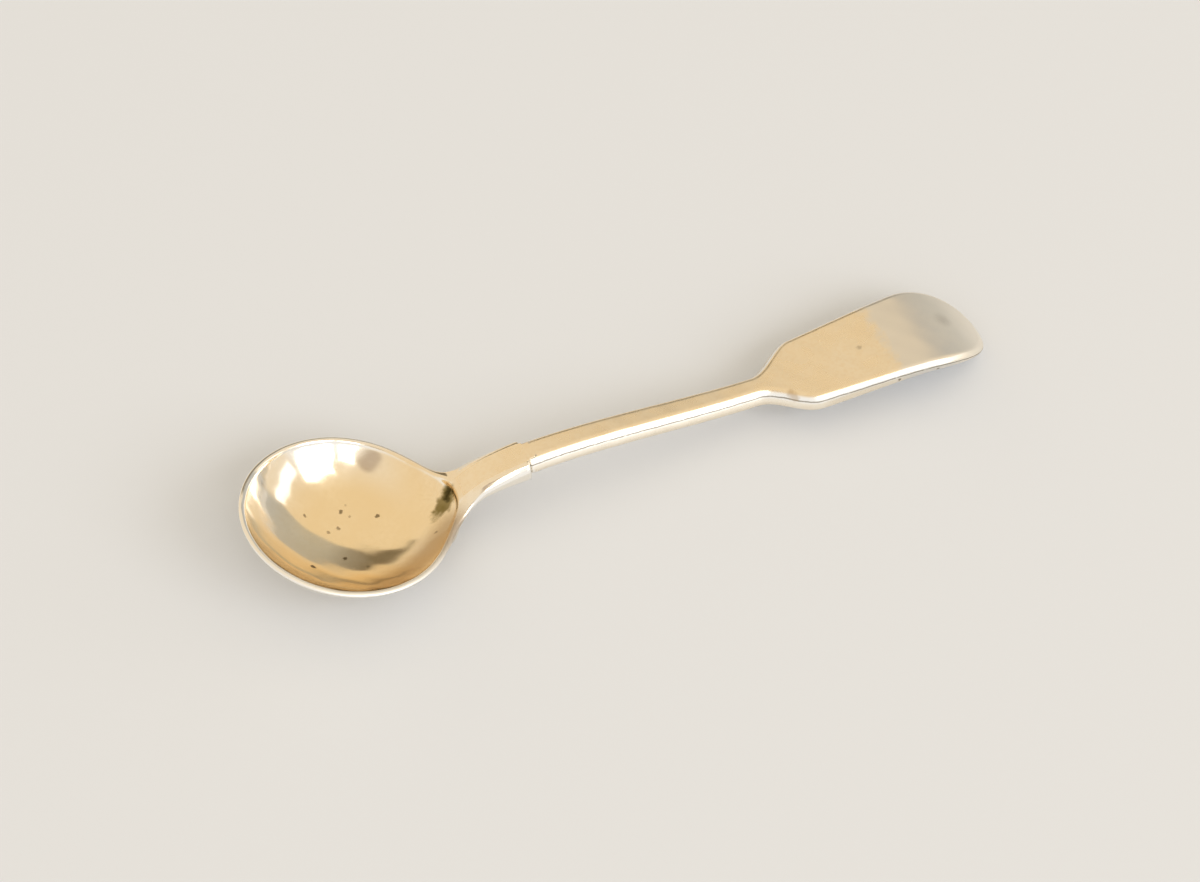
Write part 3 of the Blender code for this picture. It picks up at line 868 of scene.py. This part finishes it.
class Metal(Shading):
    """Silver gilt with cloudy colour, fine scratches, and silver showing on edges and in patches, partly worn
    and partly painted highlight.
    """

    def __init__(self, name, roughness, scratch_turns):
        super().__init__(name)
        cloud = self.noise(CLOUD_SIZE, detail=3.0)
        self.rub = self.noise(RUB_SIZE, detail=4.0, shift=7.0)
        mottle = self.noise(MOTTLE_SIZE, detail=2.0, shift=11.0)
        grain = self.noise(GRAIN_SIZE, detail=2.0)
        self.ragged = self.sway(self.noise(RAGGED_SIZE, detail=2.0), RAGGED_REACH)
        # Silver on edges and in patches: partly wear, partly painted highlight
        wear_and_highlight = self.maths("ADD", self.attribute("bend"), self.maths("MULTIPLY", self.rub, RUB_WEAR))
        self.colour = self.mix(self.ramp(cloud, *CLOUD_RANGE), GILT_DEEP, GILT_PALE)
        self.colour = self.mix(self.ramp(mottle, *MOTTLE_RANGE, 0.0, MOTTLE_SHARE), self.colour, GILT_DEEP)
        self.colour = self.mix(self.ramp(wear_and_highlight, *WEAR_AND_HIGHLIGHT_RANGE, 0.0, WEAR_AND_HIGHLIGHT_SHARE), self.colour, BARE_SILVER_AND_HIGHLIGHT)
        scratch = self.scratches(scratch_turns[0], 0.0)
        for turn in scratch_turns[1:]:
            scratch = self.maths("MAXIMUM", scratch, self.scratches(turn, SCRATCH_SHIFT * turn))
        gloss = self.ramp(cloud, *CLOUD_RANGE, roughness - CLOUD_GLOSS, roughness + CLOUD_DULLING)
        self.roughness = self.maths("ADD", gloss, self.maths("MULTIPLY", scratch, SCRATCH_DULLING))
        self.height = self.maths("SUBTRACT", self.maths("MULTIPLY", grain, GRAIN_HEIGHT), scratch)
        self.height = self.maths("ADD", self.height, mottle)

    def scratches(self, turn, shift):
        """Fine scratches in one direction."""
        lines = self.noise(SCRATCH_SIZE, detail=2.0, stretch=SCRATCH_STRETCH, turn=turn, shift=shift)
        return self.ramp(lines, *SCRATCH_RANGE)

    def sway(self, noise, reach):
        """Noise moved to lie on both sides of zero, and spread over a reach."""
        return self.maths("MULTIPLY", self.maths("SUBTRACT", noise, 0.5), reach)

    def stain(self, mark, share, colour, dulling):
        """Cover a share of the metal with a duller colour where a mark is, and give back the cover."""
        cover = self.maths("MULTIPLY", mark, share)
        self.colour = self.mix(cover, self.colour, colour)
        self.roughness = self.maths("ADD", self.roughness, self.maths("MULTIPLY", cover, dulling))
        return cover

    def finish(self):
        """Material with everything plugged in."""
        relief = {"Strength": BUMP_STRENGTH, "Distance": BUMP_HEIGHT * MM, "Height": self.height}
        bump = self.add("ShaderNodeBump", relief)
        self.put(self.shader, "Base Color", self.colour)
        self.put(self.shader, "Metallic", 1.0)
        self.put(self.shader, "Roughness", self.roughness)
        self.put(self.shader, "Normal", bump.outputs[0])
        return self.material


def bowl_material():
    """Polished bowl with a scuffed rim that shows silver, partly worn and partly painted highlight, brown
    haze on one wall, painted shade on its heel, and pits.
    """
    metal = Metal("bowl_gilt", BOWL_ROUGHNESS, BOWL_SCRATCH_TURNS)
    metal.stain(metal.spot(*BOWL_MIDST, 0.0), MIDST_SHARE, BOWL_GILT, 0.0)
    # Silver on the rim and upper walls: partly wear, partly painted highlight on one side of the rim
    bare_and_highlit = metal.attribute("worn_and_highlit")
    metal.stain(bare_and_highlit, BARE_AND_HIGHLIT_SHARE, BARE_SILVER_AND_HIGHLIGHT, 0.0)
    scuffed = metal.ramp(bare_and_highlit, RUBBED_WALL_SHARE, 1.0, 0.0, SCUFF_DULLING)
    metal.roughness = metal.maths("ADD", metal.roughness, scuffed)
    normal = metal.add("ShaderNodeNewGeometry", {}).outputs["Normal"]
    inner = metal.ramp(metal.add("ShaderNodeSeparateXYZ", {0: normal}).outputs["Z"], *INNER_RANGE)
    haze = metal.maths("MULTIPLY", metal.streak(*WALL_HAZE, metal.ragged), inner)
    metal.stain(haze, HAZE_SHARE, HAZE_BROWN, 0.0)
    # Painted shade on the heel's wall and under its lip
    torn = metal.sway(metal.rub, HEEL_SHADE_RAGGED)
    for start, end, radius, softness, share, colour in HEEL_PAINTED_SHADE:
        mark = metal.maths("MULTIPLY", metal.streak(start, end, radius, softness, torn), inner)
        metal.stain(mark, share, colour, HEEL_SHADE_DULLING)
    for centre, radius, share in BOWL_PITS:
        mark = metal.spot(centre, radius, PIT_SOFTNESS, metal.ragged)
        pit = metal.stain(mark, share, GRIME_AND_DARK_REFLECTION, PIT_DULLING)
        metal.height = metal.maths("SUBTRACT", metal.height, metal.maths("MULTIPLY", pit, PIT_DEPTH))
    return metal.finish()


def handle_material():
    """Satin handle with silver showing on its bevels, partly worn and partly painted highlight, painted
    reflection on its tip, a dark line of painted reflection along its arris, and painted shade in its notch.
    """
    metal = Metal("handle_gilt", HANDLE_ROUGHNESS, HANDLE_SCRATCH_TURNS)
    drop = metal.attribute("fall")
    waver = metal.noise(WAVER_SIZE, detail=4.0, shift=2.0)
    # Silver on the bevels: partly wear, partly painted highlight
    sides = metal.ramp(drop, *SIDE_FADE, 1.0, SIDE_FADED)
    sides = metal.maths("MULTIPLY", metal.ramp(drop, *SIDE_START), sides)
    metal.stain(sides, BEVEL_WEAR_AND_HIGHLIGHT_SHARE, BARE_SILVER_AND_HIGHLIGHT, 0.0)
    # Painted reflection on the tip, greyer then paler towards its end
    along = metal.add("ShaderNodeSeparateXYZ", {0: metal.place}).outputs["X"]
    along = metal.maths("ADD", along, metal.sway(waver, TIP_WAVER))
    for start, run, colour in TIP_PAINTED_REFLECTION:
        edge = start + RIM_CENTRE_X
        metal.stain(metal.ramp(along, edge - run, edge + run), TIP_SHARE, colour, TIP_DULLING)
    # Dark line along the arris: painted reflection, broken up by noise
    offset = metal.maths("ADD", drop, metal.maths("MULTIPLY", waver, ARRIS_WAVER))
    offset = metal.maths("ABSOLUTE", metal.maths("SUBTRACT", offset, ARRIS_DEPTH), 0.0)
    arris = metal.ramp(offset, *ARRIS_WIDTH, 1.0, 0.0)
    arris = metal.maths("MULTIPLY", arris, metal.ramp(metal.rub, *ARRIS_BREAKS))
    metal.stain(arris, ARRIS_SHARE, GRIME_AND_DARK_REFLECTION, ARRIS_DULLING)
    # Painted shade in the notch of the handle
    metal.stain(metal.streak(*NOTCH_PAINTED_SHADE, metal.ragged), NOTCH_SHARE, NOTCH_SHADE_BROWN, NOTCH_DULLING)
    for centre, radius, softness, share, dulling in HANDLE_SPOTS:
        metal.stain(metal.spot(centre, radius, softness, metal.ragged), share, GRIME_AND_DARK_REFLECTION, dulling)
    return metal.finish()


def floor_material():
    """Plain pale material without gloss."""
    material = bpy.data.materials.new("floor")
    material.use_nodes = True
    shader = material.node_tree.nodes["Principled BSDF"]
    shader.inputs["Base Color"].default_value = FLOOR_COLOUR
    shader.inputs["Roughness"].default_value = FLOOR_ROUGHNESS
    shader.inputs["Specular IOR Level"].default_value = 0.0
    return material


def way_to(azimuth, elevation):
    """Direction with its azimuth, counted from +Y towards +X, and its elevation in degrees."""
    turn = math.radians(azimuth)
    level = math.cos(math.radians(elevation))
    return Vector((math.sin(turn) * level, math.cos(turn) * level, math.sin(math.radians(elevation))))


def make_camera():
    """Camera that looks at the spoon as the photograph does."""
    forward = way_to(CAMERA_AZIMUTH, -CAMERA_ELEVATION)
    data = bpy.data.cameras.new("camera")
    data.lens = CAMERA_LENS
    data.clip_start = CAMERA_NEAR
    camera = bpy.data.objects.new("camera", data)
    camera.location = CAMERA_TARGET - CAMERA_DISTANCE * forward
    camera.rotation_euler = forward.to_track_quat("-Z", "Y").to_euler()
    bpy.context.scene.collection.objects.link(camera)
    bpy.context.scene.camera = camera


def make_window(name, way, spans, roll):
    """Rectangular lamp that spans these angles as seen from the bowl, rolled about its direction."""
    data = bpy.data.lights.new(name, "AREA")
    data.shape = "RECTANGLE"
    data.size, data.size_y = (2.0 * WINDOW_DISTANCE * math.tan(math.radians(0.5 * span)) for span in spans)
    data.energy = WINDOW_LIGHT * math.pi * data.size * data.size_y
    lamp = bpy.data.objects.new(name, data)
    lamp.location = WINDOW_TARGET + WINDOW_DISTANCE * way
    turned = (-way).to_track_quat("-Z", "Y") @ Quaternion((0.0, 0.0, 1.0), math.radians(roll))
    lamp.rotation_euler = turned.to_euler()
    lamp.visible_camera = False
    bpy.context.scene.collection.objects.link(lamp)


def make_floor():
    """Pale floor under the spoon."""
    mesh = bpy.data.meshes.new("floor")
    corners = [(x * FLOOR_REACH, y * FLOOR_REACH, 0.0) for x, y in ((-1, -1), (1, -1), (1, 1), (-1, 1))]
    mesh.from_pydata(corners, [], [(0, 1, 2, 3)])
    mesh.materials.append(floor_material())
    floor = bpy.data.objects.new("floor", mesh)
    bpy.context.scene.collection.objects.link(floor)


def make_surroundings():
    """Room round the spoon: warm, with a grey to dark hill behind, a bright front, a pane and a dim place."""
    world = bpy.data.worlds.new("studio")
    bpy.context.scene.world = world
    world.use_nodes = True
    room = Nodes(world.node_tree)
    where = room.add("ShaderNodeTexCoord", {}).outputs["Generated"]
    up = room.add("ShaderNodeSeparateXYZ", {0: where}).outputs["Z"]
    flat = room.vector("MULTIPLY", where, (1.0, 1.0, 0.0), "Vector")
    level = room.add("ShaderNodeVectorMath", {0: flat}, operation="NORMALIZE").outputs["Vector"]
    back = room.vector("DOT_PRODUCT", level, way_to(BACK_AZIMUTH, 0.0), "Value")
    right = room.vector("DOT_PRODUCT", level, way_to(RIGHT_AZIMUTH, 0.0), "Value")
    aside = room.vector("DOT_PRODUCT", level, way_to(PANE_AZIMUTH, 0.0), "Value")
    near_dim = room.vector("DOT_PRODUCT", where, way_to(*DIM_PLACE), "Value")
    over = room.maths("SUBTRACT", up, room.maths("MULTIPLY", back, HILL_SLOPE))
    under = room.maths("ADD", up, room.maths("MULTIPLY", right, HILL_FOOT_SLOPE))
    hill = room.maths("MULTIPLY", room.ramp(over, *HILL_CREST, 1.0, 0.0), room.ramp(back, *HILL_SIDES))
    hill = room.maths("MULTIPLY", hill, room.ramp(under, *HILL_FOOT))
    shade = room.mix(room.ramp(right, *HILL_SHADE), ROOM_DARK, ROOM_GREY)
    front = room.ramp(back, *FRONT_SIDES, 1.0, 0.0)
    front = room.maths("MULTIPLY", room.ramp(up, *FRONT_TOP, 1.0, 0.0), front)
    pane = room.maths("MULTIPLY", room.ramp(aside, *PANE_SIDES), room.ramp(up, *PANE_FOOT))
    pane = room.maths("MULTIPLY", pane, room.ramp(up, *PANE_TOP, 1.0, 0.0))
    colour = room.mix(hill, ROOM_WARM, shade)
    colour = room.mix(front, colour, ROOM_BRIGHT)
    colour = room.mix(pane, colour, PANE_WHITE)
    colour = room.mix(room.ramp(near_dim, *DIM_EDGE), colour, ROOM_DIM)
    room.put(room.tree.nodes["Background"], 0, colour)


bowl = make_skin("bowl_skin", bowl_field, "bowl", SKIN_CELL, SKIN_MARGIN, (LAP_GAP,), NECK_TOP_END_X, worn_and_highlit)
handle = make_skin("handle_skin", handle_field, "handle", SKIN_CELL, SKIN_MARGIN, (0.0,), STEM_FACE_X, fall)
solder = make_skin("solder_seam", solder_field, "solder_joint", SOLDER_CELL, SOLDER_MARGIN,
                   (0.0, LAP_GAP), STEM_FACE_X, fall)
bowl.data.materials.append(bowl_material())
handle.data.materials.append(handle_material())
solder.data.materials.append(Metal("solder_metal", SOLDER_ROUGHNESS, SOLDER_SCRATCH_TURNS).finish())

make_camera()
make_floor()
make_surroundings()
for name, way, spans, roll in WINDOWS:
    make_window(name, way_to(*way), spans, roll)
bpy.context.scene.view_settings.view_transform = "Standard"
